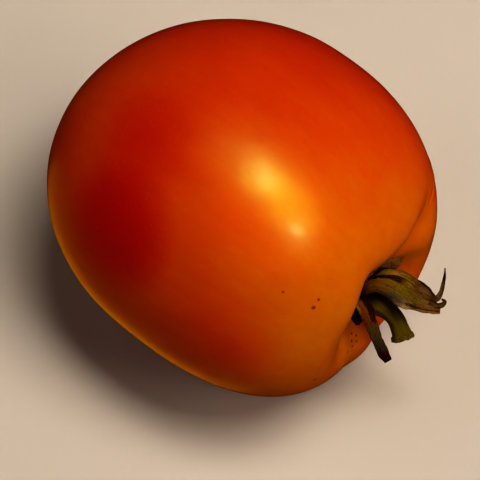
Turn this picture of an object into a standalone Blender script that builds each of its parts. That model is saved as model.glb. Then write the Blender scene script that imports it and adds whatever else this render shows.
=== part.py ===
"""A whole ripe tomato lying on its side, with its calyx and the cut end of its stem.

Metres, +Z up. The fruit's long axis lies along X with the stem end at +X. The
origin is the middle of the small flat spot that the fruit rests on, at z = 0.
"""
import math

import bmesh
import bpy
from mathutils import Vector

# Fruit: a lengthwise egg shape, a little squarer at the stem shoulders.
HALF_LENGTH = 0.0432
HALF_WIDTH = 0.0388
HALF_HEIGHT = 0.0366
REST_CUT = 0.0008
STEM_SQUARENESS = 2.40
BLOSSOM_SQUARENESS = 2.03
# The fruit grew slightly curved: both ends drift sideways from the straight axis.
BEND = 0.0026
BEND_ANGLE = math.radians(200)
# The stem shoulder on the bend's side stands a little further out.
SHOULDER_LEAN = 0.0006
# Five seed chambers show as shallow lobes that fade out towards the blossom end.
LOBES = 5
LOBE_DEPTH = 0.012
LOBE_CREST_ANGLE = math.radians(34)
LOBE_CENTRE = 0.75
LOBE_FADE = 0.5
# Swells and flats of the body: angle in degrees, place along, spread in degrees, reach along
# and height as a share of the distance from the middle. They fade out at the two poles.
SWELLS = (
    (25, 0.45, 35, 0.45, 0.010),
    (28, -0.45, 35, 0.30, -0.008),
    (192, 0.00, 35, 0.45, -0.008),
    (200, 0.82, 16, 0.25, 0.011),
    (238, 0.93, 14, 0.20, -0.014),
    (290, 0.92, 30, 0.30, 0.009),
)
SWELL_FADE = 0.35
# Stem cavity: a dimple with a broad floor. Its furrows run out between the shoulders, and each
# is given as its angle in degrees, how far it reaches past the round rim, and its spread.
CAVITY_DEPTH = 0.0105
CAVITY_RADIUS = 0.0128
CAVITY_STEEPNESS = 2.8
CAVITY_OFFSET = (0.0003, 0.0012)
FURROWS = ((50, 0.38, 15), (114, 0.12, 15), (152, -0.07, 20), (223, 0.08, 22), (300, 0.25, 16))
FURROW_TWIST = math.radians(1000)

FRUIT_SEGMENTS = 60
FRUIT_RINGS = 46
RING_CROWDING = 1.35

# Calyx: the receptacle sits at this point in the bottom of the cavity.
AXIS_HEIGHT = HALF_HEIGHT - REST_CUT
CALYX_CENTRE = Vector((0.0335, -0.0008, AXIS_HEIGHT + 0.0008))
MILLIMETRE = 0.001
STEM_FOOT_RADIUS = 0.00265
STEM_RADIUS = 0.00195
STEM_END_RADIUS = 0.0026
# How far the wide foot and the flare reach along the stem, as shares of its length.
STEM_FOOT_REACH = 0.13
STEM_FLARE_REACH = 0.10
# The knee, where the stem starts to bend, is swollen: its place, its reach and its height.
STEM_KNEE = 0.36
STEM_KNEE_REACH = 0.17
STEM_KNEE_SWELL = 0.0004
# Points of the stem's centre line from the calyx centre, in mm: out, side and up.
STEM_ROUTE = (
    (0.4, -0.2, -0.1),
    (1.4, -0.1, -0.3),
    (2.9, 0.1, -0.7),
    (4.9, 0.4, -0.8),
    (6.7, 0.7, -0.8),
    (8.5, 0.8, -1.2),
    (10.5, 0.5, -2.1),
    (12.3, -0.3, -3.2),
    (13.8, -1.2, -4.2),
)
STEM_STEPS = 4

SEPAL_THICKNESS = 0.0006
SEPAL_STEPS_ALONG = 22
SEPAL_STEPS_ACROSS = 6
# Each sepal: points of its midrib from the calyx centre in mm (out, side, up), and keys at even
# places from root to tip: its width in mm and the way its upper face looks. Cupping is in mm.
SEPALS = {
    "sepal_back": {
        "midrib": ((1.0, 3.8, 0.6), (1.3, 5.2, 2.2), (2.0, 6.5, 3.7), (3.0, 7.7, 5.1), (4.4, 9.8, 7.0)),
        "widths": (2.6, 3.6, 4.0, 3.0, 0.8), "cup": 0.3,
        "faces": ((1.0, -0.4, -0.2), (0.6, -0.5, 0.55)),
        "green": (0.070, 0.045, 0.018),
    },
    "sepal_curled": {
        "midrib": ((1.2, 1.9, 3.9), (1.6, 2.8, 4.6), (2.5, 4.0, 5.1), (3.9, 5.0, 5.5), (5.9, 6.1, 5.8),
                   (8.2, 6.6, 5.9), (10.6, 6.6, 5.7), (12.5, 6.7, 5.8), (14.2, 6.8, 5.8),
                   (15.3, 7.2, 5.8), (15.3, 8.6, 6.7), (14.7, 10.0, 7.7), (13.9, 11.4, 8.6),
                   (13.1, 12.4, 9.4)),
        "widths": (1.8, 1.6, 1.6, 1.6, 1.8, 2.4, 2.2, 1.0, 0.8, 0.8, 0.7), "cup": 0.2,
        "faces": ((0.9, 0.0, -0.4), (0.3, -0.6, 0.9), (0.2, -0.6, 1.0), (0.2, -0.6, 0.5), (0.0, -0.6, 1.0)),
        "green": (0.160, 0.110, 0.015),
    },
    "sepal_broad": {
        "midrib": ((1.4, -1.0, 3.8), (2.3, -0.2, 4.8), (3.6, 0.9, 6.0), (5.8, 1.9, 6.5), (8.4, 2.3, 6.6),
                   (10.7, 2.6, 6.4), (13.1, 3.1, 6.3), (15.3, 4.0, 6.1), (17.6, 5.4, 6.0)),
        "widths": (2.4, 2.6, 3.0, 3.6, 4.2, 4.3, 4.0, 3.4, 2.6, 2.0, 1.4), "cup": -0.6,
        "faces": ((0.1, -0.7, 0.7), (0.2, -0.4, 1.0)),
        "green": (0.140, 0.090, 0.010),
    },
    "sepal_front": {
        "midrib": ((1.6, -3.0, 2.4), (3.1, -3.1, 2.7), (5.1, -3.7, 2.3), (7.1, -4.7, 1.7), (9.2, -5.8, 0.8),
                   (11.2, -6.8, 0.0), (13.0, -7.6, -0.8), (15.0, -8.1, -1.6)),
        "widths": (2.4, 3.8, 3.8, 3.1, 2.6, 2.3, 2.3, 1.8), "cup": -0.3,
        "faces": ((0.5, 0.1, 0.8), (0.2, -0.2, 1.0)),
        "green": (0.090, 0.045, 0.012),
    },
    "sepal_shaded": {
        "midrib": ((1.1, -3.4, -1.3), (2.0, -4.1, -0.6), (3.1, -4.9, 0.0), (4.1, -5.7, 0.3),
                   (5.2, -6.6, 0.3)),
        "widths": (2.4, 3.2, 3.6, 3.0, 1.2), "cup": 0.3,
        "faces": ((0.7, 0.1, 0.7), (0.6, 0.0, 0.8)),
        "green": (0.015, 0.015, 0.006),
    },
}


def clear_scene():
    for scene_object in list(bpy.data.objects):
        bpy.data.objects.remove(scene_object, do_unlink=True)


def make_material(name, color, roughness):
    material = bpy.data.materials.new(name)
    material.use_nodes = True
    shader = material.node_tree.nodes["Principled BSDF"]
    shader.inputs["Base Color"].default_value = (*color, 1.0)
    shader.inputs["Roughness"].default_value = roughness
    shader.inputs["Metallic"].default_value = 0.0
    return material


def add_object(name, data, material, collection):
    data.materials.append(material)
    new_object = bpy.data.objects.new(name, data)
    collection.objects.link(new_object)
    return new_object


def smooth_step(value):
    value = min(max(value, 0.0), 1.0)
    return value * value * (3.0 - 2.0 * value)


def angle_between(a, b):
    return math.remainder(a - b, math.tau)


def cavity_depth(side, up):
    """Depth of the stem cavity at a place measured from the calyx centre."""
    side -= CAVITY_OFFSET[0]
    up -= CAVITY_OFFSET[1]
    distance = math.hypot(side, up)
    angle = math.atan2(up, side) + FURROW_TWIST * distance
    reach = CAVITY_RADIUS
    for degrees, extra, spread in FURROWS:
        off = angle_between(angle, math.radians(degrees)) / math.radians(spread)
        reach += CAVITY_RADIUS * extra * math.exp(-off * off)
    return CAVITY_DEPTH * math.exp(-(distance / reach) ** CAVITY_STEEPNESS)


def body_swell(along, around):
    """The share by which the body stands out, or is flat, at a place on it."""
    swell = 0.0
    for degrees, place, spread, reach, height in SWELLS:
        off = angle_between(around, math.radians(degrees)) / math.radians(spread)
        gap = (along - place) / reach
        swell += height * math.exp(-off * off - gap * gap)
    return swell


def body_point(polar, around):
    """The lobed egg shape without its cavity, about an axis through x only."""
    towards_stem = smooth_step((math.cos(polar) + 1.0) / 2.0)
    power = BLOSSOM_SQUARENESS + (STEM_SQUARENESS - BLOSSOM_SQUARENESS) * towards_stem
    cosine, sine = math.cos(polar), math.sin(polar)
    stretch = (abs(cosine) ** power + abs(sine) ** power) ** (-1.0 / power)
    along = cosine * stretch
    off_lobe = (along - LOBE_CENTRE) / LOBE_FADE
    lobe = LOBE_DEPTH * math.exp(-off_lobe * off_lobe) * math.cos(LOBES * (around - LOBE_CREST_ANGLE))
    radial = sine * stretch * (1.0 + lobe)
    lean = SHOULDER_LEAN * sine * stretch * max(along, 0.0) ** 2 * math.cos(around - BEND_ANGLE)
    drift = BEND * along * along
    swell = 1.0 + body_swell(along, around) * smooth_step(radial / SWELL_FADE)
    return Vector((
        HALF_LENGTH * along * swell - lean,
        HALF_WIDTH * radial * swell * math.cos(around) + drift * math.cos(BEND_ANGLE),
        HALF_HEIGHT * radial * swell * math.sin(around) + drift * math.sin(BEND_ANGLE) + AXIS_HEIGHT,
    ))


def fruit_point(polar, around):
    """A point of the skin: the body, sunk at the stem cavity and flat where it rests."""
    point = body_point(polar, around)
    if point.x > 0.0:
        point.x -= cavity_depth(point.y - CALYX_CENTRE.y, point.z - CALYX_CENTRE.z)
    point.z = max(point.z, 0.0)
    return point


def make_fruit(collection):
    mesh_builder = bmesh.new()
    bmesh.ops.create_uvsphere(mesh_builder, u_segments=FRUIT_SEGMENTS, v_segments=FRUIT_RINGS, radius=1.0)
    for vertex in mesh_builder.verts:
        share = math.acos(min(max(vertex.co.z, -1.0), 1.0)) / math.pi
        around = math.atan2(vertex.co.y, vertex.co.x)
        vertex.co = fruit_point(math.pi * share ** RING_CROWDING, around)
    mesh = bpy.data.meshes.new("fruit")
    mesh_builder.to_mesh(mesh)
    mesh_builder.free()
    mesh.shade_smooth()
    skin = make_material("tomato_skin", (0.52, 0.07, 0.002), 0.34)
    return add_object("fruit", mesh, skin, collection)


def smooth_route(points, steps):
    """Points on a Catmull-Rom curve through the given points."""
    points = [Vector(point) for point in points]
    points = [2 * points[0] - points[1], *points, 2 * points[-1] - points[-2]]
    route = []
    for a, b, c, d in zip(points, points[1:], points[2:], points[3:]):
        for step in range(steps):
            t = step / steps
            route.append(0.5 * (2 * b + (c - a) * t + (2 * a - 5 * b + 4 * c - d) * t ** 2
                                + (3 * b - 3 * c + d - a) * t ** 3))
    return [*route, points[-2]]


def stem_radius(share):
    """Wide receptacle at the foot, a swollen knee, a slim neck, and a flare at the break."""
    foot = (STEM_FOOT_RADIUS - STEM_RADIUS) * math.exp(-(share / STEM_FOOT_REACH) ** 2)
    knee = STEM_KNEE_SWELL * math.exp(-((share - STEM_KNEE) / STEM_KNEE_REACH) ** 2)
    end = (STEM_END_RADIUS - STEM_RADIUS) * math.exp(-((1.0 - share) / STEM_FLARE_REACH) ** 2)
    return STEM_RADIUS + foot + knee + end


def make_stem(collection):
    route = [CALYX_CENTRE + point * MILLIMETRE for point in smooth_route(STEM_ROUTE, STEM_STEPS)]
    curve = bpy.data.curves.new("stem", "CURVE")
    curve.dimensions = "3D"
    curve.bevel_depth = 1.0
    curve.bevel_resolution = 4
    curve.use_fill_caps = True
    spline = curve.splines.new("POLY")
    spline.points.add(len(route) - 1)
    for index, point in enumerate(route):
        spline.points[index].co = (*point, 1.0)
        spline.points[index].radius = stem_radius(index / (len(route) - 1))
    green = make_material("stem_green", (0.085, 0.080, 0.012), 0.60)
    return add_object("stem", curve, green, collection)


def keyed(values, share):
    """Smooth blend, at a share from 0 to 1, of keys at even places."""
    place = min(max(share, 0.0), 1.0) * (len(values) - 1)
    index = min(int(place), len(values) - 2)
    blend = smooth_step(place - index)
    return values[index] * (1.0 - blend) + values[index + 1] * blend


def make_sepal(name, shape, collection):
    route = smooth_route(shape["midrib"], SEPAL_STEPS_ALONG)
    faces = [Vector(face) for face in shape["faces"]]
    mesh_builder = bmesh.new()
    bmesh.ops.create_grid(
        mesh_builder, x_segments=SEPAL_STEPS_ALONG, y_segments=SEPAL_STEPS_ACROSS, size=1.0)
    for vertex in mesh_builder.verts:
        share = (vertex.co.x + 1.0) / 2.0
        across = vertex.co.y
        place = share * (len(route) - 1)
        index = min(int(place), len(route) - 2)
        ahead = route[index + 1] - route[index]
        centre = route[index] + ahead * (place - index)
        side = keyed(faces, share).cross(ahead).normalized()
        normal = ahead.cross(side).normalized()
        half_width = keyed(shape["widths"], share) / 2.0
        cupping = shape["cup"] * across * across * math.sin(math.pi * share)
        offset = centre + side * across * half_width + normal * cupping
        vertex.co = CALYX_CENTRE + offset * MILLIMETRE
    mesh = bpy.data.meshes.new(name)
    mesh_builder.to_mesh(mesh)
    mesh_builder.free()
    mesh.shade_smooth()
    green = make_material(name + "_green", shape["green"], 0.65)
    sepal = add_object(name, mesh, green, collection)
    blade = sepal.modifiers.new("blade", "SOLIDIFY")
    blade.thickness = SEPAL_THICKNESS
    blade.offset = 0.0
    return sepal


def main():
    clear_scene()
    tomato = bpy.data.collections.new("tomato")
    bpy.context.scene.collection.children.link(tomato)
    make_fruit(tomato)
    make_stem(tomato)
    for name, shape in SEPALS.items():
        make_sepal(name, shape, tomato)


main()
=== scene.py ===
"""The looks of a whole ripe tomato lying on its side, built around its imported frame.

Metres, +Z up. The fruit's long axis lies along X with the stem end at +X, and the origin lies
on the flat spot that it rests on, straight under the middle of the axis.
"""
import math

import bpy
import numpy as np
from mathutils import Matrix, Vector, noise


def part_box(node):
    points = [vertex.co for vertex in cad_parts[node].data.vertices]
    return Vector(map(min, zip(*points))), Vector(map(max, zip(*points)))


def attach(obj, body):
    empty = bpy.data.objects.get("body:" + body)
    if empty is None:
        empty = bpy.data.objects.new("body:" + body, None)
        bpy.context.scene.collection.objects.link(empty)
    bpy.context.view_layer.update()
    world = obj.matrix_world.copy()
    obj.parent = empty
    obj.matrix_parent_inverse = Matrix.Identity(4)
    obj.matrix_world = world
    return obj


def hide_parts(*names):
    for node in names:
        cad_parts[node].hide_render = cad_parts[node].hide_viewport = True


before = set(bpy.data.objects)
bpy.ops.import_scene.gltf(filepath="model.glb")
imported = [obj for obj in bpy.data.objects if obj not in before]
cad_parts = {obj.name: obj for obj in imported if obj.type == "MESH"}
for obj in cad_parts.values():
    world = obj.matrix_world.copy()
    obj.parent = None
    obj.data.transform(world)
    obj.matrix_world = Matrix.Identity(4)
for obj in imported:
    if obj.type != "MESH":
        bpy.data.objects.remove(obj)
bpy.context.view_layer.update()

MM = 0.001

# Fruit: the same egg shape as the CAD fruit, with its sizes read from the frame. Its axis bends
# toward BEND_ANGLE at both ends. All angles run round the axis, from +Y over +Z.
FRUIT_LOW, FRUIT_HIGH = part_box("fruit")
REST_CUT = 0.8 * MM
HALF_LENGTH = -FRUIT_LOW.x
HALF_WIDTH = FRUIT_HIGH.y
HALF_HEIGHT = (FRUIT_HIGH.z + REST_CUT) / 2
AXIS_HEIGHT = HALF_HEIGHT - REST_CUT
STEM_SQUARENESS = 2.40
BLOSSOM_SQUARENESS = 2.03
BEND = 2.6 * MM
BEND_ANGLE = math.radians(200)
SHOULDER_LEAN = 0.6 * MM
LOBES = 5
LOBE_DEPTH = 0.012
LOBE_CREST_ANGLE = math.radians(34)
LOBE_CENTRE = 0.75
LOBE_FADE = 0.5
CAVITY_DEPTH = 10.5 * MM
CAVITY_RADIUS = 12.8 * MM
CAVITY_STEEPNESS = 2.8
CAVITY_OFFSET = (0.3 * MM, 1.2 * MM)
# Furrows run out of the cavity: angle in degrees, reach past the rim as a share of the cavity's
# radius, spread in degrees. A minus draws the rim in. The twist is per metre from the middle.
FURROWS = ((50, 0.38, 15), (114, 0.12, 15), (152, -0.07, 20), (223, 0.08, 22), (300, 0.25, 16))
FURROW_TWIST = math.radians(1000)
# Swells and flats of the body: angle in degrees, place along, spread in degrees, reach along
# and height as a share of the distance from the middle.
SWELL_FADE = 0.35
SWELLS = (
    (25, 0.45, 35, 0.45, 0.010),
    (28, -0.45, 35, 0.30, -0.008),
    (192, 0.00, 35, 0.45, -0.008),
    (200, 0.82, 16, 0.25, 0.011),
    (238, 0.93, 14, 0.20, -0.014),
    (290, 0.92, 30, 0.30, 0.009),
)

FRUIT_SEGMENTS = 384
FRUIT_RINGS = 236
RING_CROWDING = 1.35
# More segments stand where the crease runs, so that it is cut cleanly.
CREASE_ANGLE = math.radians(27)
CREASE_SPREAD = math.radians(16)
CREASE_CROWDING = 2.2
ANGLE_SAMPLES = 4001

# Crease: a healed crack down one shoulder, as points from the fruit's middle in mm.
CREASE_ROUTE = (
    (22.5, 35.0, 3.0),
    (26.0, 32.8, 5.2),
    (29.1, 30.1, 7.4),
    (32.2, 25.9, 10.2),
    (34.4, 22.8, 11.4),
    (36.3, 19.6, 11.8),
    (37.7, 16.8, 12.0),
    (38.6, 12.5, 11.0),
)
CREASE_WIDTH = 0.42 * MM
CREASE_DEPTH = 0.32 * MM
CREASE_STEPS = 40
LIP_PLACE = 2.4 * CREASE_WIDTH
LIP_HEIGHT = 0.35 * CREASE_DEPTH

WAVE_SIZE = 11 * MM
WAVE_HEIGHT = 0.10 * MM
DIMPLE_SIZE = 3.2 * MM
DIMPLE_HEIGHT = 0.012 * MM
BLOSSOM_SCAR_RADIUS = 1.7 * MM
BLOSSOM_SCAR_DEPTH = 0.45 * MM
# The dent round the scar and the knob inside it, as shares of the scar's radius and depth.
DENT_RADIUS = 2.0
KNOB_RADIUS = 0.42
KNOB_HEIGHT = 0.8

# Calyx: the middle of the receptacle, in the bottom of the cavity.
CALYX_CENTRE = Vector((HALF_LENGTH - 9.7 * MM, -0.8 * MM, AXIS_HEIGHT + 0.8 * MM))

# Stem: points of its centre line from the calyx centre in mm (out, side and up), and radii.
# Places and reaches along it are shares of its length.
STEM_ROUTE = (
    (-0.6, -0.3, -0.3),
    (1.2, -0.1, -0.5),
    (2.9, 0.1, -0.7),
    (4.9, 0.4, -0.8),
    (6.7, 0.7, -0.8),
    (8.5, 0.8, -1.2),
    (10.5, 0.5, -2.1),
    (12.3, -0.3, -3.2),
    (13.8, -1.2, -4.2),
)
STEM_STEPS = 24
STEM_SIDES = 96
STEM_FOOT_RADIUS = 3.3 * MM
STEM_FOOT_REACH = 0.13
STEM_RADIUS = 1.95 * MM
STEM_KNEE = 0.36
STEM_KNEE_REACH = 0.17
STEM_KNEE_SWELL = 0.50 * MM
STEM_END_RADIUS = 2.55 * MM
STEM_FLARE_REACH = 0.10
STEM_FLARE_SHARE = 0.55
STEM_RING_START = 0.925
STEM_RING_RISE = 0.02
STEM_RING_SHARE = 0.45
STEM_RIBS = 7
STEM_RIB_TWIST = 0.6
STEM_RIB_HEIGHT = 0.035
# Lumps on the wall: how close they are round it and along it, and their height over the radius.
STEM_LUMPS = ((2.0, 6.0, 0.035), (9.0, 8.0, 0.018))
# Scallops of the break: how close they are, where their noise is read, and their share.
STEM_SCALLOPS = ((3.4, 7.0, 1.0), (8.0, 3.0, 0.5))
STEM_RAGGED = 0.10 * MM
STEM_RAGGED_ALONG = 2.5
# Rings of the hollow broken end: size as a share of the rim, depth as a share of the hollow.
END_RINGS = ((0.95, -0.06), (0.86, 0.0), (0.72, 0.30), (0.50, 0.52), (0.25, 0.50))
END_MIDDLE = 0.5
END_HOLLOW = 0.9 * MM
END_BUMP_SIZE = 0.9 * MM
END_BUMP_HEIGHT = 0.08

# Sepals: midrib points from the calyx centre in mm (out, side, up). The other lists are keys
# at even places from root to tip: widths in mm, how far the section curls over its width and
# how far its lower edge rolls under, in degrees, and the way the upper face looks.
SEPALS = {
    "sepal_back": {
        "midrib": ((1.0, 3.7, 0.5), (1.3, 5.2, 2.2), (2.0, 6.5, 3.7), (3.0, 7.7, 5.1), (4.4, 9.8, 7.0)),
        "widths": (2.8, 4.2, 4.6, 3.2, 0.3), "curl": (30, 40, 20), "roll": (0, 0),
        "faces": ((1.0, -0.4, -0.2), (0.6, -0.5, 0.55)),
    },
    "sepal_curled": {
        "midrib": ((1.2, 1.9, 3.9), (1.6, 2.8, 4.6), (2.5, 4.0, 5.1), (3.9, 5.0, 5.5), (5.9, 6.1, 5.8),
                   (8.2, 6.6, 5.9), (10.6, 6.6, 5.7), (12.5, 6.7, 5.8), (14.2, 6.8, 5.8), (15.3, 7.2, 5.8),
                   (15.3, 8.6, 6.7), (14.7, 10.0, 7.7), (13.9, 11.4, 8.6), (13.1, 12.4, 9.4)),
        "widths": (2.2, 2.4, 2.8, 2.8, 2.8, 3.6, 3.8, 1.8, 1.3, 1.1, 0.4),
        "curl": (60, 80, 80, 90, 120, 200, 240), "roll": (0, 0),
        "faces": ((0.9, 0.0, -0.4), (0.3, -0.6, 0.9), (0.2, -0.6, 1.0), (0.2, -0.6, 0.5), (0.0, -0.6, 1.0)),
    },
    "sepal_broad": {
        "midrib": ((1.4, -1.0, 3.8), (2.3, -0.2, 4.8), (3.6, 0.9, 6.0), (5.8, 1.9, 6.5), (8.4, 2.3, 6.6),
                   (10.7, 2.6, 6.4), (13.1, 3.1, 6.3), (15.3, 4.0, 6.1), (17.6, 5.4, 6.0)),
        "widths": (2.6, 2.8, 3.2, 3.9, 4.6, 4.7, 4.6, 4.2, 3.8, 3.2, 2.6),
        "curl": (-20, -60, -80, -80, -90, -60), "roll": (0, 0, 0, -90, -280, -330),
        "faces": ((0.1, -0.7, 0.7), (0.2, -0.4, 1.0)),
    },
    "sepal_front": {
        "midrib": ((1.3, -2.4, 2.1), (3.1, -2.6, 2.8), (5.1, -3.3, 2.4), (7.1, -4.5, 1.7), (9.2, -5.7, 0.8),
                   (11.2, -6.7, 0.0), (13.0, -7.5, -0.8), (15.0, -8.1, -1.6)),
        "widths": (2.6, 3.7, 3.7, 3.1, 2.7, 2.4, 2.6, 1.8), "curl": (-30, -60, -40, -50), "roll": (0, 0),
        "faces": ((0.5, 0.1, 0.8), (0.2, -0.2, 1.0)),
    },
    "sepal_shaded": {
        "midrib": ((1.1, -3.2, -1.3), (2.0, -4.0, -0.6), (3.1, -4.8, 0.0), (4.1, -5.7, 0.3),
                   (5.2, -6.6, 0.3)),
        "widths": (2.6, 3.6, 4.0, 3.4, 1.0), "curl": (30, 40, 50), "roll": (0, 0),
        "faces": ((0.7, 0.1, 0.7), (0.6, 0.0, 0.8)),
    },
}
# A strip split off the end of the broad sepal, curled into a hook.
HOOK = {
    "midrib": ((14.7, 5.3, 6.4), (15.7, 5.5, 6.4), (16.8, 5.8, 6.6), (17.4, 6.5, 6.8), (17.2, 7.1, 7.1),
               (16.5, 7.2, 7.2)),
    "widths": (1.6, 1.8, 1.9, 1.8, 0.8), "curl": (150, 240, 240), "roll": (0, 0),
    "faces": ((0.2, -0.4, 1.0), (0.2, -0.4, 1.0)),
}
SEPAL_THICKNESS = 0.34 * MM
SEPAL_EDGE_THICKNESS = 0.10 * MM
# Where half a blade is narrower than this, it gets thinner with its width.
SEPAL_FULL_HALF = 0.9 * MM
SEPAL_RIB_HEIGHT = 0.22 * MM
SEPAL_RIB_WIDTH = 0.16
SEPAL_RIB_FADE = 0.7
SEPAL_VEIN_HEIGHT = 0.05 * MM
SEPAL_VEINS = 15
SEPAL_WRINKLE = 0.16 * MM
WRINKLE_RISE = 1.5
# Wrinkles: how close they are along and across the blade, a shift of the noise, and their share.
SEPAL_WRINKLES = ((9, 2.6, 4, 1.0), (22, 5.0, 8, 0.5))
# Ragged edges: how close the rags are, their depth as a share of half the width, and how far
# apart the noise of the two edges is read.
EDGE_RAGS = 14
EDGE_RAG_DEPTH = 0.10
EDGES_APART = 3
ROLL_START = 0.35
SEPAL_STEPS = 130
SEPAL_SIDES = 42
SECTION_SAMPLES = 161
SEPAL_SEED_STEP = 10.0
HOOK_SEED = 60.0

# Camera: it looks down on the stem side. The aim is below the fruit's middle, so the fruit
# stands high in the picture.
CAMERA_AZIMUTH = math.radians(40)
CAMERA_ELEVATION = math.radians(65)
CAMERA_DISTANCE = 0.450
CAMERA_SENSOR = 36.0
CAMERA_LENS = 153.4
AIM_RIGHT = -0.2 * MM
AIM_DOWN = 9.3 * MM

LAMP_COLOR = (1.0, 0.76, 0.50)
GLINT_COLOR = (0.44, 1.0, 0.50)
BAND_COLOR = (0.62, 1.0, 0.0)
GLOW_COLOR = (1.0, 0.25, 0.0)
COUNTER_COLOR = (1.0, 0.45, 0.0)
WORLD_STRENGTH = 0.006
# Lamps that shade the fruit and don't show in its skin: direction, width and power.
SHADING_DISTANCE = 1.0
SHADING_LAMPS = {
    "overhead_lamp": ((0.04, 0.13, 0.99), 0.24, 2.2),
    "ceiling_lamp": ((0.30, 0.20, 0.93), 0.40, 5.5),
    "stem_side_lamp": ((0.72, 0.24, 0.65), 0.50, 2.2),
    "blossom_side_lamp": ((-0.55, -0.45, 0.70), 0.60, 1.1),
}
# Lamps that only show in the skin: direction, distance, width, length over width, power, colour.
# The last one lies under the floor, as the bright counter that the skin reflects.
REFLECTED_LAMPS = {
    "overhead_glint": ((0.014, 0.070, 0.997), 0.93, 0.11, 2.0, 21.0, GLINT_COLOR),
    "stem_side_glint": ((0.494, -0.117, 0.862), 0.93, 0.11, 1.0, 16.0, GLINT_COLOR),
    "overhead_glow": ((0.05, 0.07, 0.996), 0.93, 0.25, 1.6, 40.0, BAND_COLOR),
    "band_glow": ((0.38, 0.02, 0.92), 0.93, 0.48, 1.0, 40.0, BAND_COLOR),
    "wide_glow": ((0.35, -0.20, 0.91), 0.93, 1.30, 1.0, 60.0, GLOW_COLOR),
    "counter_glow": ((-0.35, -0.60, -0.70), 0.50, 0.80, 1.0, 1.7, COUNTER_COLOR),
}
FLOOR_COLOR = (0.54, 0.59, 0.71)
FLOOR_SIZE = 6.0
FLOOR_GAP = 0.05 * MM
ROUTE_STEPS = 40
NOISE_SHIFT = (17.3, 5.1, 9.7)


# ---------------------------------------------------------------- shape helpers


def smooth_step(value):
    """Ease from 0 to 1 as the value goes from 0 to 1."""
    value = np.clip(value, 0.0, 1.0)
    return value * value * (3.0 - 2.0 * value)


def smooth_route(points, steps):
    """Points on a Catmull-Rom curve through the given points."""
    points = [Vector(point) for point in points]
    points = [2 * points[0] - points[1], *points, 2 * points[-1] - points[-2]]
    route = []
    for a, b, c, d in zip(points, points[1:], points[2:], points[3:]):
        for step in range(steps):
            t = step / steps
            route.append(0.5 * (2 * b + (c - a) * t + (2 * a - 5 * b + 4 * c - d) * t ** 2
                                + (3 * b - 3 * c + d - a) * t ** 3))
    return [*route, points[-2]]


def even_route(points, count):
    """The smooth curve through the points, read at even distances."""
    route = np.array(smooth_route(points, ROUTE_STEPS))
    length = np.concatenate([[0.0], np.cumsum(np.linalg.norm(np.diff(route, axis=0), axis=1))])
    places = np.linspace(0.0, length[-1], count)
    return np.stack([np.interp(places, length, route[:, axis]) for axis in range(3)], axis=1)


def distance_to_route(points, route):
    """Each point's distance to the nearest stretch of the route."""
    nearest = np.full(len(points), np.inf)
    for start, end in zip(route, route[1:]):
        ahead = end - start
        share = np.clip((points - start) @ ahead / (ahead @ ahead), 0.0, 1.0)
        gap = np.linalg.norm(points - start - share[:, None] * ahead, axis=1)
        nearest = np.minimum(nearest, gap)
    return nearest


def add_mesh(name, points, faces, attributes, node_name):
    """A smooth mesh piece that rides on the root body and stands for a CAD node."""
    mesh = bpy.data.meshes.new(name)
    mesh.from_pydata([tuple(point) for point in points], [], faces)
    for key, values in attributes.items():
        layer = mesh.attributes.new(key, "FLOAT", "POINT")
        layer.data.foreach_set("value", np.asarray(values, np.float32))
    mesh.validate()
    mesh.shade_smooth()
    piece = bpy.data.objects.new(name, mesh)
    bpy.context.scene.collection.objects.link(piece)
    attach(piece, "root")
    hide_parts(node_name)
    return piece


def loft_faces(loops, sides):
    """Quads between closed loops of points, with a fan to one last point at each end."""
    faces = []
    for loop in range(loops - 1):
        for side in range(sides):
            after = (side + 1) % sides
            low, high = loop * sides, (loop + 1) * sides
            faces.append((low + side, low + after, high + after, high + side))
    first, last = loops * sides, loops * sides + 1
    end = (loops - 1) * sides
    for side in range(sides):
        after = (side + 1) % sides
        faces.append((first, after, side))
        faces.append((last, end + side, end + after))
    return faces


# ---------------------------------------------------------------- fruit


def cavity_depth(side, up):
    """Depth of the stem cavity at places measured from the calyx centre."""
    side = side - CAVITY_OFFSET[0]
    up = up - CAVITY_OFFSET[1]
    distance = np.hypot(side, up)
    angle = np.arctan2(up, side) + FURROW_TWIST * distance
    reach = CAVITY_RADIUS
    for degrees, extra, spread in FURROWS:
        off = np.angle(np.exp(1j * (angle - math.radians(degrees)))) / math.radians(spread)
        reach = reach + CAVITY_RADIUS * extra * np.exp(-off * off)
    return CAVITY_DEPTH * np.exp(-(distance / reach) ** CAVITY_STEEPNESS)


def body_points(polar, around):
    """The lobed egg shape without its cavity."""
    cosine, sine = np.cos(polar), np.sin(polar)
    power = BLOSSOM_SQUARENESS + (STEM_SQUARENESS - BLOSSOM_SQUARENESS) * smooth_step((cosine + 1) / 2)
    stretch = (np.abs(cosine) ** power + np.abs(sine) ** power) ** (-1 / power)
    along = cosine * stretch
    lobe = LOBE_DEPTH * np.exp(-((along - LOBE_CENTRE) / LOBE_FADE) ** 2)
    radial = sine * stretch * (1 + lobe * np.cos(LOBES * (around - LOBE_CREST_ANGLE)))
    swell = 1.0
    for degrees, place, spread, reach, height in SWELLS:
        off = np.angle(np.exp(1j * (around - math.radians(degrees)))) / math.radians(spread)
        swell = swell + height * np.exp(-off ** 2 - ((along - place) / reach) ** 2)
    swell = 1.0 + (swell - 1.0) * smooth_step(radial / SWELL_FADE)
    lean = SHOULDER_LEAN * sine * stretch * np.maximum(along, 0) ** 2 * np.cos(around - BEND_ANGLE)
    drift = BEND * along * along
    return np.stack([
        HALF_LENGTH * along * swell - lean,
        HALF_WIDTH * radial * swell * np.cos(around) + drift * math.cos(BEND_ANGLE),
        HALF_HEIGHT * radial * swell * np.sin(around) + drift * math.sin(BEND_ANGLE) + AXIS_HEIGHT,
    ], axis=-1)


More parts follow.
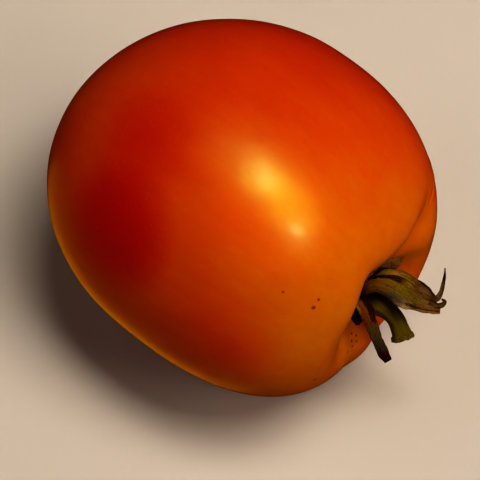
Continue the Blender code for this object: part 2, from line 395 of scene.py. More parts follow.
def skin_points(polar, around):
    """The skin before its fine relief: the body, sunk at the stem cavity."""
    points = body_points(polar, around)
    depth = cavity_depth(points[..., 1] - CALYX_CENTRE.y, points[..., 2] - CALYX_CENTRE.z)
    points[..., 0] -= np.where(points[..., 0] > 0, depth, 0)
    return points


def crowded_angles(count):
    """Angles round the fruit, closer together where the crease runs."""
    fine = np.linspace(-math.pi, math.pi, ANGLE_SAMPLES)
    density = 1 + CREASE_CROWDING * np.exp(-((fine - CREASE_ANGLE) / CREASE_SPREAD) ** 2)
    total = np.concatenate([[0], np.cumsum((density[1:] + density[:-1]) / 2)])
    return np.interp(np.arange(count) / count * total[-1], total, fine)


def noise_field(points, size, seed):
    """Smooth noise from -1 to 1 at each point, with lumps of the given size."""
    offset = Vector([seed * part for part in NOISE_SHIFT])
    return np.array([noise.noise(Vector(point) / size + offset) for point in points])


def skin_relief(points, crease):
    """Height of the fine relief: slow waves, dimples, the crease and the blossom scar."""
    waves = WAVE_HEIGHT * noise_field(points, WAVE_SIZE, 1)
    waves += DIMPLE_HEIGHT * noise_field(points, DIMPLE_SIZE, 2)
    groove = -CREASE_DEPTH * np.exp(-(crease / CREASE_WIDTH) ** 2)
    lips = LIP_HEIGHT * np.exp(-((crease - LIP_PLACE) / CREASE_WIDTH) ** 2)
    tip = points[np.argmin(points[:, 0])]
    scar = np.linalg.norm(points - tip, axis=1) / BLOSSOM_SCAR_RADIUS
    dent = -BLOSSOM_SCAR_DEPTH * np.exp(-(scar / DENT_RADIUS) ** 2)
    knob = KNOB_HEIGHT * BLOSSOM_SCAR_DEPTH * np.exp(-(scar / KNOB_RADIUS) ** 4)
    return waves + groove + lips + dent + knob


def skin_normals(grid, ends):
    """Outward directions at the rings of points, and then at the two ends."""
    sides = np.roll(grid, -1, axis=1) - np.roll(grid, 1, axis=1)
    padded = np.concatenate([np.repeat(ends[:1, None], FRUIT_SEGMENTS, 1), grid,
                             np.repeat(ends[1:, None], FRUIT_SEGMENTS, 1)])
    ahead = padded[2:] - padded[:-2]
    normals = np.cross(sides, -ahead).reshape(-1, 3)
    normals = np.concatenate([normals, [[1, 0, 0], [-1, 0, 0]]])
    return normals / np.linalg.norm(normals, axis=1)[:, None]


def make_fruit():
    share = np.arange(1, FRUIT_RINGS) / FRUIT_RINGS
    polar = math.pi * share ** RING_CROWDING
    around = crowded_angles(FRUIT_SEGMENTS)
    grid = skin_points(*np.meshgrid(polar, around, indexing="ij"))
    ends = skin_points(np.array([0.0, math.pi]), np.zeros(2))
    normals = skin_normals(grid, ends)
    points = np.concatenate([grid.reshape(-1, 3), ends])
    route = even_route(CREASE_ROUTE, CREASE_STEPS) * MM + np.array([0, 0, AXIS_HEIGHT])
    crease = distance_to_route(points, route)
    points = points + normals * skin_relief(points, crease)[:, None]
    points[:, 2] = np.maximum(points[:, 2], 0)
    faces = loft_faces(FRUIT_RINGS - 1, FRUIT_SEGMENTS)
    faces = [face[::-1] for face in faces]
    piece = add_mesh("tomato_fruit", points, faces, {"crease": crease / MM}, "fruit")
    piece.data.materials.append(skin_material())


# ---------------------------------------------------------------- stem


def turned_frames(route):
    """A steady side and up direction at each point of a route, without twist."""
    ahead = np.gradient(route, axis=0)
    ahead /= np.linalg.norm(ahead, axis=1)[:, None]
    up = np.array([0.0, 0.0, 1.0])
    sides, ups = [], []
    for direction in ahead:
        side = np.cross(direction, up)
        side /= np.linalg.norm(side)
        up = np.cross(side, direction)
        sides.append(side)
        ups.append(up)
    return np.array(sides), np.array(ups), ahead


def stem_radius(share):
    """Wide receptacle at the foot, a swollen knee, a slim neck, and a flared ring at the break."""
    foot = (STEM_FOOT_RADIUS - STEM_RADIUS) * math.exp(-(share / STEM_FOOT_REACH) ** 2)
    foot += STEM_KNEE_SWELL * math.exp(-((share - STEM_KNEE) / STEM_KNEE_REACH) ** 2)
    flare = STEM_FLARE_SHARE * math.exp(-((1.0 - share) / STEM_FLARE_REACH) ** 2)
    ring = STEM_RING_SHARE * float(smooth_step((share - STEM_RING_START) / STEM_RING_RISE))
    return STEM_RADIUS + foot + (STEM_END_RADIUS - STEM_RADIUS) * (flare + ring)


def round_noise(angle, scale, height):
    """Noise at an angle on a circle whose radius is the scale, and at a height."""
    around = Vector((math.cos(angle), math.sin(angle), 0.0))
    return noise.noise(around * scale + Vector((0.0, 0.0, height)))


def stem_point(centre, side, up, ahead, share, angle):
    """A point of the wall, which is ribbed and lumpy, and ragged at the break."""
    radius = 1 + STEM_RIB_HEIGHT * math.cos(STEM_RIBS * (angle + STEM_RIB_TWIST * share))
    for around, along, height in STEM_LUMPS:
        radius += height * round_noise(angle, around, along * share)
    radius *= stem_radius(share)
    end = float(smooth_step((share - STEM_RING_START) / (1.0 - STEM_RING_START)))
    scallop = sum(part * round_noise(angle, scale, height) for scale, height, part in STEM_SCALLOPS)
    ragged = STEM_RAGGED * end * scallop
    out = side * math.cos(angle) + up * math.sin(angle)
    return centre + out * (radius + ragged) + ahead * ragged * STEM_RAGGED_ALONG


def end_ring(rim, middle, ahead, inset, depth):
    """One ring of the hollow broken end: the rim drawn in, sunk and bumpy."""
    ring = []
    for point in rim:
        bump = END_BUMP_HEIGHT * noise.noise(Vector(point) / END_BUMP_SIZE)
        ring.append(middle + (point - middle) * inset - ahead * END_HOLLOW * (depth + bump))
    return ring


def make_stem():
    route = np.array(smooth_route(STEM_ROUTE, STEM_STEPS)) * MM + np.array(CALYX_CENTRE)
    sides, ups, ahead = turned_frames(route)
    angles = np.arange(STEM_SIDES) / STEM_SIDES * math.tau
    points, along, hollow = [], [], []
    for share, axes in zip(np.linspace(0.0, 1.0, len(route)), zip(route, sides, ups, ahead)):
        points += [stem_point(*axes, share, angle) for angle in angles]
        along += [share] * STEM_SIDES
        hollow += [0.0] * STEM_SIDES
    rim = np.array(points[-STEM_SIDES:])
    middle = rim.mean(axis=0)
    for inset, depth in END_RINGS:
        points += end_ring(rim, middle, ahead[-1], inset, depth)
        along += [1.0] * STEM_SIDES
        hollow += [1.0 - inset] * STEM_SIDES
    points += [route[0], middle - ahead[-1] * END_HOLLOW * END_MIDDLE]
    along += [0.0, 1.0]
    hollow += [0.0, 1.0]
    faces = loft_faces(len(points) // STEM_SIDES, STEM_SIDES)
    turns = [*(np.tile(angles, len(points) // STEM_SIDES)), 0.0, 0.0]
    attributes = {"along": along, "hollow": hollow, "round_x": np.cos(turns), "round_y": np.sin(turns)}
    piece = add_mesh("tomato_stem", points, faces, attributes, "stem")
    piece.data.materials.append(stem_material())


# ---------------------------------------------------------------- sepals


def keyed(values, share):
    """Smooth blend, at a share from 0 to 1, of keys at even places."""
    values = np.asarray(values, float)
    place = min(max(share, 0.0), 1.0) * (len(values) - 1)
    index = min(int(place), len(values) - 2)
    blend = smooth_step(place - index)
    return values[index] * (1 - blend) + values[index + 1] * blend


def sepal_section(across, curl, roll):
    """The bent section of a blade, in half widths: places across and up, and the turn there."""
    fine = np.linspace(-1.0, 1.0, SECTION_SAMPLES)
    turn = curl / 2 * fine + roll * smooth_step((-fine - ROLL_START) / (1.0 - ROLL_START))
    step = fine[1] - fine[0]
    flat = np.cumsum(np.cos(turn)) * step
    lift = np.cumsum(np.sin(turn)) * step
    middle = len(fine) // 2
    flat, lift = flat - flat[middle], lift - lift[middle]
    return [np.interp(across, fine, values) for values in (flat, lift, turn)]


def blade_offset(share, a, sign, seed):
    """How far a face stands off the blade's middle: wrinkles, thickness, veins and rib."""
    wrinkle = 0.0
    for along, across, shift, height in SEPAL_WRINKLES:
        wrinkle += height * noise.noise(Vector((share * along, a * across, seed + shift)))
    thick = SEPAL_EDGE_THICKNESS + (SEPAL_THICKNESS - SEPAL_EDGE_THICKNESS) * (1 - a * a)
    rib = SEPAL_RIB_HEIGHT * math.exp(-(a / SEPAL_RIB_WIDTH) ** 2) * (1 - SEPAL_RIB_FADE * share)
    veins = SEPAL_VEIN_HEIGHT * math.cos(a * SEPAL_VEINS) * (1 - a * a)
    offset = SEPAL_WRINKLE * wrinkle * math.sin(math.pi * min(share * WRINKLE_RISE, 1) / 2)
    return offset + (sign * thick / 2 * math.sqrt(max(1 - a * a, 0)) + (veins if sign > 0 else -rib))


def sepal_loop(centre, ahead, shape, share, seed):
    """One closed section: the upper face from edge to edge, then the lower face back."""
    face = keyed(shape["faces"], share)
    side = np.cross(face, ahead)
    side /= np.linalg.norm(side)
    normal = np.cross(ahead, side)
    half = keyed(shape["widths"], share) / 2 * MM
    curl = math.radians(keyed(shape["curl"], share))
    roll = math.radians(keyed(shape["roll"], share))
    across = np.sin(np.linspace(-math.pi / 2, math.pi / 2, SEPAL_SIDES))
    flat, lift, turn = sepal_section(across, curl, roll)
    thin = min(1.0, half / SEPAL_FULL_HALF)
    loop, place = [], []
    for sign, order in ((1, range(SEPAL_SIDES)), (-1, range(SEPAL_SIDES - 2, 0, -1))):
        for k in order:
            a = across[k]
            rag = noise.noise(Vector((share * EDGE_RAGS, np.sign(a) * EDGES_APART, seed)))
            ragged = 1 + EDGE_RAG_DEPTH * rag * abs(a)
            offset = blade_offset(share, a, sign, seed)
            out = normal * math.cos(turn[k]) - side * math.sin(turn[k])
            spot = side * flat[k] * half * ragged + normal * lift[k] * half * ragged
            loop.append(centre + spot + out * offset * thin)
            place.append((a, sign))
    return loop, place


def make_sepal(name, shape, seed, node_name):
    route = even_route(shape["midrib"], SEPAL_STEPS) * MM + np.array(CALYX_CENTRE)
    ahead = np.gradient(route, axis=0)
    ahead /= np.linalg.norm(ahead, axis=1)[:, None]
    points, along, across, upper = [], [], [], []
    for index, centre in enumerate(route):
        share = index / (len(route) - 1)
        loop, place = sepal_loop(centre, ahead[index], shape, share, seed)
        points += loop
        along += [share] * len(loop)
        across += [a for a, sign in place]
        upper += [(sign + 1) / 2 for a, sign in place]
    sides = len(loop)
    points += [np.mean(points[:sides], axis=0), np.mean(points[-sides:], axis=0)]
    along += [0.0, 1.0]
    across += [0.0, 0.0]
    upper += [0.5, 0.5]
    attributes = {"along": along, "across": across, "upper": upper}
    faces = [face[::-1] for face in loft_faces(SEPAL_STEPS, sides)]
    piece = add_mesh("tomato_" + name, points, faces, attributes, node_name)
    piece.data.materials.append(sepal_material(name))


def make_sepals():
    """The five sepals, and the hook that belongs to the broad one."""
    for number, (name, shape) in enumerate(SEPALS.items()):
        make_sepal(name, shape, SEPAL_SEED_STEP * number, name)
    make_sepal("sepal_hook", HOOK, HOOK_SEED, "sepal_broad")


# ---------------------------------------------------------------- materials


class Graph:
    """One material's nodes, with short calls that add a node and link its inputs."""

    def __init__(self, name):
        self.material = bpy.data.materials.new(name)
        self.material.use_nodes = True
        self.tree = self.material.node_tree
        self.shader = self.tree.nodes["Principled BSDF"]

    def feed(self, socket, value):
        """Link the socket to the value, or set it. A colour is three numbers, and opaque."""
        if isinstance(value, bpy.types.NodeSocket):
            self.tree.links.new(value, socket)
        elif socket.type == "RGBA":
            socket.default_value = (*value, 1.0)
        else:
            socket.default_value = value

    def node(self, kind, inputs, **settings):
        new = self.tree.nodes.new("ShaderNode" + kind)
        for key, value in settings.items():
            setattr(new, key, value)
        for key, value in inputs.items():
            self.feed(new.inputs[key], value)
        return new

    def place(self):
        return self.node("TexCoord", {}).outputs["Object"]

    def attribute(self, name):
        return self.node("Attribute", {}, attribute_name=name).outputs["Fac"]

    def math(self, operation, first, second=0.0):
        return self.node("Math", {0: first, 1: second}, operation=operation).outputs[0]

    def centred(self, field, strength):
        """A noise from 0 to 1 as a rise and fall round 0, of the given strength."""
        return self.math("MULTIPLY", self.math("SUBTRACT", field, 0.5), strength)

    def distance(self, place, centre):
        return self.node("VectorMath", {0: place, 1: centre}, operation="DISTANCE").outputs["Value"]

    def span(self, value, low, high, new_low=0.0, new_high=1.0):
        """The value's smooth share from low to high, as new_low to new_high."""
        inputs = {"Value": value, "From Min": low, "From Max": high, "To Min": new_low, "To Max": new_high}
        return self.node("MapRange", inputs, interpolation_type="SMOOTHSTEP").outputs["Result"]

    def mix(self, share, first, second, blend="MIX"):
        """The first colour, covered with the second by the share."""
        inputs = {0: share, 6: first, 7: second}
        return self.node("Mix", inputs, data_type="RGBA", blend_type=blend).outputs[2]

    def ramp(self, value, stops):
        """A colour ramp through (place, colour) stops."""
        new = self.node("ValToRGB", {"Fac": value})
        elements = new.color_ramp.elements
        while len(elements) < len(stops):
            elements.new(0.5)
        for element, (place, color) in zip(elements, stops):
            element.position = place
            element.color = (*color, 1.0)
        return new.outputs["Color"]

    def stretched(self, vector, scale):
        return self.node("Mapping", {"Vector": vector, "Scale": scale}).outputs["Vector"]

    def noise(self, vector, size, detail=3.0, roughness=0.5):
        inputs = {"Vector": vector, "Scale": 1.0 / size, "Detail": detail, "Roughness": roughness}
        return self.node("TexNoise", inputs).outputs["Fac"]

    def spots(self, vector, size):
        """Distance to the nearest of scattered points, in cells of the given size."""
        return self.node("TexVoronoi", {"Vector": vector, "Scale": 1.0 / size}).outputs["Distance"]

    def bump(self, height, distance, strength=1.0):
        inputs = {"Height": height, "Distance": distance, "Strength": strength}
        self.feed(self.shader.inputs["Normal"], self.node("Bump", inputs).outputs["Normal"])


# Skin colours from the ripest to the least ripe, each at its place on the ripeness scale.
SKIN_RAMP = (
    (0.05, (0.405, 0.0020, 0.0004)),
    (0.24, (0.410, 0.0045, 0.0005)),
    (0.43, (0.435, 0.0115, 0.0006)),
    (0.52, (0.455, 0.0205, 0.0007)),
    (0.62, (0.472, 0.0330, 0.0007)),
    (0.71, (0.508, 0.0540, 0.0008)),
    (0.81, (0.547, 0.0900, 0.0009)),
    (0.90, (0.555, 0.1450, 0.0010)),
    (1.00, (0.590, 0.2100, 0.0015)),
)
# The fruit ripened from below, and least on the shoulder at the stem. Riper patches are points
# from the middle in mm, a radius in mm and how much riper; a minus is a less ripe patch. The two
# less ripe patches lie on the walls of the stem cavity: more orange there, and lighter, which is
# partly painted light against the walls' shade.
UNRIPE_MIDDLE = 0.584
UNRIPE_DIRECTION = (0.147, -0.080, 0.181)
UNRIPE_ENDS = 0.212
RED_PATCHES = (
    ((-8.6, -29.0, 21.0), 16.5, 0.66), ((-13.5, -14.5, 32.5), 17.0, 0.23), ((22.0, -33.0, 11.0), 17.0, 0.14),
    ((38.0, 14.0, 0.0), 16.0, -0.05), ((37.5, -8.5, -8.0), 11.0, -0.10),
)
# Clouds and lengthwise streaks in the ripeness: size and strength.
CLOUD_SIZE = 17 * MM
CLOUD_STRENGTH = 0.16
STREAK_SIZE = 2.6 * MM
STREAK_STRENGTH = 0.10
STREAK_SCALE = (0.16, 1.0, 1.0)
# Pale dots under the skin. Their core and rim are in cells of the spacing.
PALE_DOT = (0.62, 0.150, 0.004)
DOT_SPACING = 1.5 * MM
DOT_CORE, DOT_RIM, DOT_STRENGTH = 0.10, 0.26, 0.10
# Brown cork in the crease. Its core and rim are distances from the crease in mm.
CORK_BROWN = (0.10, 0.018, 0.003)
CORK_CORE, CORK_RIM, CORK_STRENGTH = 0.12, 0.55, 0.85
SPECK_BROWN = (0.06, 0.010, 0.002)
SPECK_CORE, SPECK_RIM, SPECK_STRENGTH = 0.35, 1.2, 0.85
WEAR_SIZE = 7 * MM
SKIN_ROUGHNESS = (0.30, 0.36)
PORE_SIZE = 0.55 * MM
PORE_HEIGHT = 0.02 * MM
COAT_GRAIN_SIZE = 0.7 * MM
COAT_GRAIN_HEIGHT = 0.016 * MM

# Specks on the skin: points from the fruit's middle in mm, and each one's radius in mm.
SPECKS = (
    ((27.6, -19.6, 24.9), 0.42),
    ((33.6, -17.0, 21.2), 0.55),
    ((33.5, -15.3, 22.3), 0.38),
    ((36.0, -26.0, 2.9), 0.40),
    ((38.9, -22.1, -1.2), 0.50),
    ((37.7, -20.9, -11.5), 0.35),
    ((-20.7, -11.1, 31.4), 0.42),
    ((-15.4, 24.2, 25.9), 0.36),
    ((37.1, -6.7, -7.7), 0.38),
    ((38.0, -7.7, -8.7), 0.40),
    ((38.9, -10.1, -9.1), 0.38),
    ((37.9, -6.0, -9.0), 0.35),
    ((38.6, -6.7, -10.0), 0.32),
    ((38.7, -8.2, -9.9), 0.30),
    ((39.6, -13.2, -4.4), 0.35),
)


def unripeness(graph, place):
    """The share from deep red to shoulder orange at each place on the skin."""
    middle = (0.0, 0.0, AXIS_HEIGHT)
    spot = graph.node("VectorMath", {0: place, 1: middle}, operation="SUBTRACT").outputs["Vector"]
    slope = tuple(part / HALF_LENGTH for part in UNRIPE_DIRECTION)
    value = graph.node("VectorMath", {0: spot, 1: slope}, operation="DOT_PRODUCT").outputs["Value"]
    value = graph.math("ADD", value, UNRIPE_MIDDLE)
    along = graph.math("DIVIDE", graph.node("SeparateXYZ", {"Vector": place}).outputs["X"], HALF_LENGTH)
    ends = graph.math("MULTIPLY", graph.math("MULTIPLY", along, along), UNRIPE_ENDS)
    value = graph.math("ADD", value, ends)
    for patch, radius, depth in RED_PATCHES:
        centre = tuple(part * MM for part in patch)
        riper = graph.span(graph.distance(spot, centre), 0.0, radius * MM, depth, 0.0)
        value = graph.math("SUBTRACT", value, riper)
    clouds = graph.noise(place, CLOUD_SIZE, 4.0, 0.55)
    value = graph.math("ADD", value, graph.centred(clouds, CLOUD_STRENGTH))
    streaks = graph.noise(graph.stretched(place, STREAK_SCALE), STREAK_SIZE, 3.0, 0.6)
    return graph.math("ADD", value, graph.centred(streaks, STREAK_STRENGTH))


def skin_color(graph, place):
    """The ripeness colours, with pale dots, the corky crease and the brown specks."""
    color = graph.ramp(unripeness(graph, place), SKIN_RAMP)
    dots = graph.span(graph.spots(place, DOT_SPACING), DOT_CORE, DOT_RIM, DOT_STRENGTH, 0.0)
    color = graph.mix(dots, color, PALE_DOT)
    cork = graph.span(graph.attribute("crease"), CORK_CORE, CORK_RIM, CORK_STRENGTH, 0.0)
    color = graph.mix(cork, color, CORK_BROWN)
    for centre, radius in SPECKS:
        middle = (centre[0] * MM, centre[1] * MM, centre[2] * MM + AXIS_HEIGHT)
        core, rim = SPECK_CORE * radius * MM, SPECK_RIM * radius * MM
        mask = graph.span(graph.distance(place, middle), core, rim, SPECK_STRENGTH, 0.0)
        color = graph.mix(mask, color, SPECK_BROWN)
    return color


def skin_material():
    """Thin waxy skin over wet flesh: little shine of its own, under a faint grainy coat."""
    graph = Graph("tomato_skin")
    place = graph.place()
    color = skin_color(graph, place)
    shader = graph.shader.inputs
    graph.feed(shader["Base Color"], color)
    wear = graph.noise(place, WEAR_SIZE, 4.0, 0.6)
    graph.feed(shader["Roughness"], graph.span(wear, 0.3, 0.7, *SKIN_ROUGHNESS))
    shader["Specular IOR Level"].default_value = 0.03
    shader["Coat Weight"].default_value = 1.0
    shader["Coat IOR"].default_value = 1.03
    shader["Coat Roughness"].default_value = 0.12
    shader["Coat Tint"].default_value = (0.94, 0.93, 0.80, 1.0)
    shader["Subsurface Weight"].default_value = 0.12
    shader["Subsurface Radius"].default_value = (1.0, 0.30, 0.10)
    shader["Subsurface Scale"].default_value = 2.5 * MM
    graph.bump(graph.noise(place, PORE_SIZE, 2.0, 0.5), PORE_HEIGHT, 0.6)
    grain = graph.noise(place, COAT_GRAIN_SIZE, 2.0, 0.6)
    inputs = {"Height": grain, "Distance": COAT_GRAIN_HEIGHT, "Strength": 0.8}
    graph.feed(shader["Coat Normal"], graph.node("Bump", inputs).outputs["Normal"])
    return graph.material


# Sepal colours: the upper face and the underside from root to tip, as places and colours.
SEPAL_COLORS = {
    "sepal_back": (
        ((0.0, (0.010, 0.007, 0.001)), (0.30, (0.045, 0.020, 0.004)), (0.50, (0.220, 0.105, 0.030)),
         (0.80, (0.300, 0.160, 0.055)), (1.0, (0.240, 0.094, 0.016))),
        ((0.0, (0.020, 0.011, 0.003)), (1.0, (0.100, 0.066, 0.039))),
    ),
    "sepal_curled": (
        ((0.0, (0.050, 0.026, 0.002)), (0.14, (0.200, 0.156, 0.024)), (0.25, (0.360, 0.221, 0.028)),
         (0.42, (0.220, 0.169, 0.016)), (0.50, (0.105, 0.055, 0.015)), (0.58, (0.135, 0.080, 0.030)),
         (0.68, (0.090, 0.046, 0.012)), (0.78, (0.160, 0.124, 0.060)), (0.90, (0.060, 0.016, 0.006)),
         (1.0, (0.035, 0.004, 0.002))),
        ((0.0, (0.030, 0.019, 0.004)), (0.5, (0.120, 0.078, 0.060)), (1.0, (0.030, 0.005, 0.004))),
    ),
    "sepal_broad": (
        ((0.0, (0.048, 0.024, 0.002)), (0.14, (0.180, 0.090, 0.006)), (0.30, (0.156, 0.093, 0.008)),
         (0.48, (0.156, 0.124, 0.010)), (0.68, (0.114, 0.087, 0.012)), (0.80, (0.168, 0.105, 0.035)),
         (1.0, (0.190, 0.113, 0.041))),
        ((0.0, (0.072, 0.045, 0.020)), (0.35, (0.120, 0.112, 0.080)), (0.45, (0.200, 0.128, 0.060)),
         (1.0, (0.200, 0.120, 0.046))),
    ),
    "sepal_front": (
        ((0.0, (0.104, 0.080, 0.022)), (0.15, (0.156, 0.054, 0.011)), (0.42, (0.111, 0.029, 0.004)),
         (0.52, (0.065, 0.045, 0.015)), (0.80, (0.029, 0.026, 0.018)), (0.86, (0.023, 0.003, 0.002)),
         (1.0, (0.046, 0.008, 0.007))),
        ((0.0, (0.039, 0.032, 0.011)), (1.0, (0.039, 0.016, 0.011))),
    ),
    # Painted shade: this sepal is coloured almost black all over, for the shade in the cavity where it lies.
    "sepal_shaded": (
        ((0.0, (0.002, 0.001, 0.001)), (0.8, (0.003, 0.002, 0.001)), (1.0, (0.020, 0.008, 0.002))),
        ((0.0, (0.002, 0.001, 0.001)), (1.0, (0.010, 0.004, 0.001))),
    ),
    "sepal_hook": (
        ((0.0, (0.070, 0.038, 0.010)), (0.5, (0.150, 0.105, 0.030)), (1.0, (0.060, 0.030, 0.006))),
        ((0.0, (0.050, 0.028, 0.008)), (1.0, (0.080, 0.045, 0.012))),
    ),
}
# Patches on the blades: from and to along, from and to across, strength and colour.
SEPAL_PATCHES = {
    "sepal_back": (
        # Painted shade: the dark root half of the back sepal, in the shade where the sepals meet.
        (-0.2, 0.46, -1.2, 1.2, 0.85, (0.014, 0.006, 0.001)),
    ),
    "sepal_curled": (
        # Painted shade: the dark lower half near the root, the shade inside the cupped fold.
        (-0.2, 0.37, -1.2, -0.05, 1.0, (0.034, 0.015, 0.001)),
        (0.52, 0.64, -0.2, 0.5, 0.6, (0.24, 0.15, 0.09)),
    ),
    "sepal_broad": (
        (0.38, 0.58, -1.2, 0.04, 0.95, (0.135, 0.115, 0.078)),
        (0.58, 0.66, -1.2, 0.00, 0.9, (0.30, 0.25, 0.16)),
        (0.62, 1.2, -0.42, -0.18, 0.9, (0.030, 0.014, 0.003)),
    ),
    "sepal_front": (
        # Painted shade: the near-black half next to the stem, near the root.
        (-0.2, 0.44, -0.02, 1.2, 0.95, (0.010, 0.004, 0.001)),
        (0.03, 0.24, -1.2, -0.70, 0.9, (0.26, 0.15, 0.06)),
    ),
    "sepal_shaded": (),
    "sepal_hook": (),
}
PATCH_SOFTNESS = 0.05
# Where the dried dark tips begin, and their colour.
SEPAL_TIPS = {"sepal_curled": 0.84, "sepal_front": 0.88}
TIP_MAROON = (0.018, 0.0025, 0.0015)
TIP_STRENGTH = 0.8
STREAK_BROWN = (0.020, 0.008, 0.002)
STREAK_STRAW = (0.26, 0.18, 0.09)
# Mottling of a blade: its size, and how far it shifts the colours along and across.
MOTTLE_SIZE = 1.4 * MM
MOTTLE_ALONG = 0.16
MOTTLE_ACROSS = 0.35
BLADE_STREAKS_ACROSS = 9.0
BLADE_STREAKS_ALONG = 4.0
BLADE_GRAIN_SIZE = 0.45 * MM
BLADE_RIM_START = 0.86
BLADE_BUMP_HEIGHT = 0.12 * MM


def blade_patch(graph, along, across, limits):
    """The share to which a place on a blade lies in a patch."""
    first, last, low, high = limits
    soft = PATCH_SOFTNESS
    lengthwise = graph.math(
        "MULTIPLY", graph.span(along, first - soft, first + soft),
        graph.span(along, last - soft, last + soft, 1.0, 0.0))
    crosswise = graph.math(
        "MULTIPLY", graph.span(across, low - soft, low + soft),
        graph.span(across, high - soft, high + soft, 1.0, 0.0))
    return graph.math("MULTIPLY", lengthwise, crosswise)


def blade_ground(graph, name, along, across):
    """The colours along each face of a blade, with its patches."""
    upper_stops, under_stops = SEPAL_COLORS[name]
    is_upper = graph.span(graph.attribute("upper"), 0.4, 0.6)
    color = graph.mix(is_upper, graph.ramp(along, under_stops), graph.ramp(along, upper_stops))
    for *limits, strength, patch_color in SEPAL_PATCHES[name]:
        mask = graph.math("MULTIPLY", blade_patch(graph, along, across, limits), strength)
        color = graph.mix(mask, color, patch_color)
    return color


def blade_wear(graph, color, streaks, place, across):
    """The colour with its brown and straw streaks, brown grain and dark rim."""
    color = graph.mix(graph.span(streaks, 0.50, 0.70, 0.0, 0.85), color, STREAK_BROWN)
    color = graph.mix(graph.span(streaks, 0.32, 0.46, 0.35, 0.0), color, STREAK_STRAW)
    grain = graph.noise(place, BLADE_GRAIN_SIZE, 2.0, 0.6)
    color = graph.mix(graph.span(grain, 0.52, 0.75, 0.0, 0.6), color, STREAK_BROWN)
    rim = graph.math("ABSOLUTE", across)
    return graph.mix(graph.span(rim, BLADE_RIM_START, 1.0, 0.0, 0.5), color, STREAK_BROWN)


def sepal_material(name):
    """Dried and green blades: a colour for each face, streaked lengthwise, with darker edges."""
    graph = Graph("tomato_" + name)
    place = graph.place()
    along = graph.attribute("along")
    across = graph.attribute("across")
    mottle = graph.noise(place, MOTTLE_SIZE, 4.0, 0.6)
    shift = graph.math("ADD", along, graph.centred(mottle, MOTTLE_ALONG))
    uneven = graph.math("ADD", across, graph.centred(mottle, MOTTLE_ACROSS))
    color = blade_ground(graph, name, shift, uneven)
    wide = graph.math("MULTIPLY", across, BLADE_STREAKS_ACROSS)
    strip = graph.node("CombineXYZ", {"X": wide, "Y": along}).outputs[0]
    streaks = graph.noise(graph.stretched(strip, (1.0, BLADE_STREAKS_ALONG, 1.0)), 1.0, 4.0, 0.65)
    color = blade_wear(graph, color, streaks, place, across)
    if name in SEPAL_TIPS:
        start = SEPAL_TIPS[name]
        tip = graph.span(shift, start, start + PATCH_SOFTNESS, 0.0, TIP_STRENGTH)
        color = graph.mix(tip, color, TIP_MAROON)
    shader = graph.shader.inputs
    graph.feed(shader["Base Color"], color)
    graph.feed(shader["Roughness"], graph.span(mottle, 0.3, 0.7, 0.5, 0.72))
    shader["Specular IOR Level"].default_value = 0.0
    graph.bump(streaks, BLADE_BUMP_HEIGHT, 0.8)
    return graph.material


STEM_FOOT_PAINTED_SHADE = (0.010, 0.004, 0.001)
STEM_PAINTED_LIGHT = (0.050, 0.034, 0.002)
STEM_STREAK_SIZE = 0.30
STEM_STREAKS = ((0.30, (0.044, 0.027, 0.001)), (0.50, (0.086, 0.070, 0.003)), (0.72, (0.110, 0.095, 0.004)))
STEM_RING = ((0.35, (0.035, 0.022, 0.004)), (0.55, (0.11, 0.085, 0.015)))
STEM_RING_SOFTNESS = 0.01
STEM_PITH = ((0.02, (0.11, 0.09, 0.02)), (0.12, (0.07, 0.05, 0.01)), (0.75, (0.16, 0.13, 0.05)))
STEM_SPECK_SIZE = 0.5 * MM
STEM_BUMP_HEIGHT = 0.10 * MM


def stem_material():
    """Dark olive, streaked lengthwise, with painted shade that makes the foot black, painted light on one
    side, and paler at the ring and the break.
    """
    graph = Graph("tomato_stem")
    place = graph.place()
    along = graph.attribute("along")
    length = graph.math("MULTIPLY", along, 1.2)
    round_x = graph.attribute("round_x")
    round_y = graph.attribute("round_y")
    around = graph.node("CombineXYZ", {"X": round_x, "Y": round_y, "Z": length}).outputs[0]
    streaks = graph.noise(around, STEM_STREAK_SIZE, 4.0, 0.65)
    color = graph.ramp(streaks, STEM_STREAKS)
    # Painted light: the side of the stem toward round_x is screened paler, as if lit more.
    painted_light = graph.span(round_x, -0.6, 0.9, 0.0, 0.4)
    color = graph.mix(painted_light, color, STEM_PAINTED_LIGHT, blend="SCREEN")
    # Painted shade: the foot, and its upper side a little further along, go almost black.
    shade = graph.math("SUBTRACT", along, graph.math("MULTIPLY", round_y, 0.06))
    color = graph.mix(graph.span(shade, 0.18, 0.48, 1.0, 0.0), color, STEM_FOOT_PAINTED_SHADE)
    specks = graph.noise(place, STEM_SPECK_SIZE, 3.0, 0.6)
    start, end = STEM_RING_START - STEM_RING_SOFTNESS, STEM_RING_START + STEM_RING_SOFTNESS
    color = graph.mix(graph.span(along, start, end), color, graph.ramp(specks, STEM_RING))
    hollow = graph.attribute("hollow")
    color = graph.mix(graph.span(hollow, 0.0, 0.04), color, graph.ramp(hollow, STEM_PITH))
    shader = graph.shader.inputs
    graph.feed(shader["Base Color"], color)
    graph.feed(shader["Roughness"], graph.span(specks, 0.3, 0.7, 0.45, 0.62))
    shader["Specular IOR Level"].default_value = 0.0
    graph.bump(graph.math("ADD", streaks, graph.math("MULTIPLY", specks, 0.5)), STEM_BUMP_HEIGHT, 0.7)
    return graph.material


def floor_material():
    graph = Graph("floor")
    shader = graph.shader.inputs
    shader["Base Color"].default_value = (*FLOOR_COLOR, 1.0)
    shader["Specular IOR Level"].default_value = 0.0
    return graph.material


# ---------------------------------------------------------------- stage


def make_floor():
    mesh = bpy.data.meshes.new("floor")
    half = FLOOR_SIZE / 2
    corners = [(-half, -half, -FLOOR_GAP), (half, -half, -FLOOR_GAP), (half, half, -FLOOR_GAP),
               (-half, half, -FLOOR_GAP)]
    mesh.from_pydata(corners, [], [(0, 1, 2, 3)])
    mesh.materials.append(floor_material())
    floor = bpy.data.objects.new("floor", mesh)
    # It stays out of reflections, and lets the light of the lamp under it through.
    floor.visible_glossy = False
    floor.visible_shadow = False
    bpy.context.scene.collection.objects.link(floor)


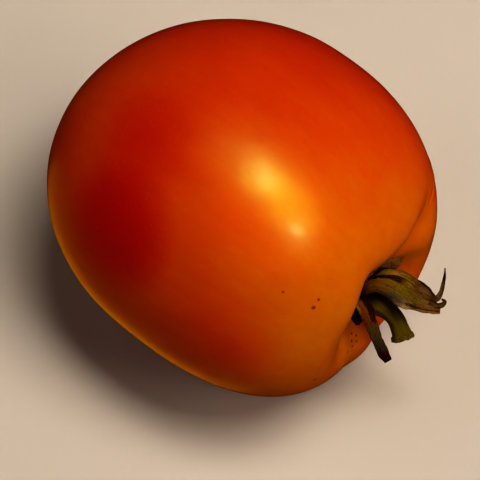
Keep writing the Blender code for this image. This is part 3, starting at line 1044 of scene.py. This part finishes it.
def make_camera():
    back = Vector((
        math.sin(CAMERA_AZIMUTH) * math.cos(CAMERA_ELEVATION),
        -math.cos(CAMERA_AZIMUTH) * math.cos(CAMERA_ELEVATION),
        math.sin(CAMERA_ELEVATION),
    ))
    right = Vector((math.cos(CAMERA_AZIMUTH), math.sin(CAMERA_AZIMUTH), 0.0))
    middle = Vector((0.0, 0.0, AXIS_HEIGHT))
    aim = middle - back.cross(right) * AIM_DOWN + right * AIM_RIGHT
    data = bpy.data.cameras.new("camera")
    data.sensor_width = CAMERA_SENSOR
    data.lens = CAMERA_LENS
    camera = bpy.data.objects.new("camera", data)
    camera.location = middle + back * CAMERA_DISTANCE
    camera.rotation_euler = (aim - camera.location).to_track_quat("-Z", "Y").to_euler()
    bpy.context.scene.collection.objects.link(camera)
    bpy.context.scene.camera = camera


def make_lamp(name, direction, distance, size, stretch, power, color, reflected):
    """An oval soft lamp that aims at the fruit. It shows in the skin or it shades, not both."""
    middle = Vector((0.0, 0.0, AXIS_HEIGHT))
    data = bpy.data.lights.new(name, "AREA")
    data.shape = "ELLIPSE"
    data.size = size
    data.size_y = size * stretch
    data.energy = power
    data.color = color
    lamp = bpy.data.objects.new(name, data)
    lamp.location = middle + Vector(direction).normalized() * distance
    lamp.rotation_euler = (middle - lamp.location).to_track_quat("-Z", "Y").to_euler()
    lamp.visible_glossy = reflected
    lamp.visible_diffuse = not reflected
    bpy.context.scene.collection.objects.link(lamp)


def make_lights():
    for name, (direction, size, power) in SHADING_LAMPS.items():
        make_lamp(name, direction, SHADING_DISTANCE, size, 1.0, power, LAMP_COLOR, False)
    for name, (direction, distance, size, stretch, power, color) in REFLECTED_LAMPS.items():
        make_lamp(name, direction, distance, size, stretch, power, color, True)


def make_world():
    world = bpy.data.worlds.new("world")
    world.use_nodes = True
    background = world.node_tree.nodes["Background"]
    background.inputs["Color"].default_value = (*LAMP_COLOR, 1.0)
    background.inputs["Strength"].default_value = WORLD_STRENGTH
    bpy.context.scene.world = world


def set_view():
    view = bpy.context.scene.view_settings
    view.view_transform = "Standard"
    view.look = "High Contrast"


make_camera()
make_lights()
make_world()
set_view()
make_floor()
make_fruit()
make_stem()
make_sepals()
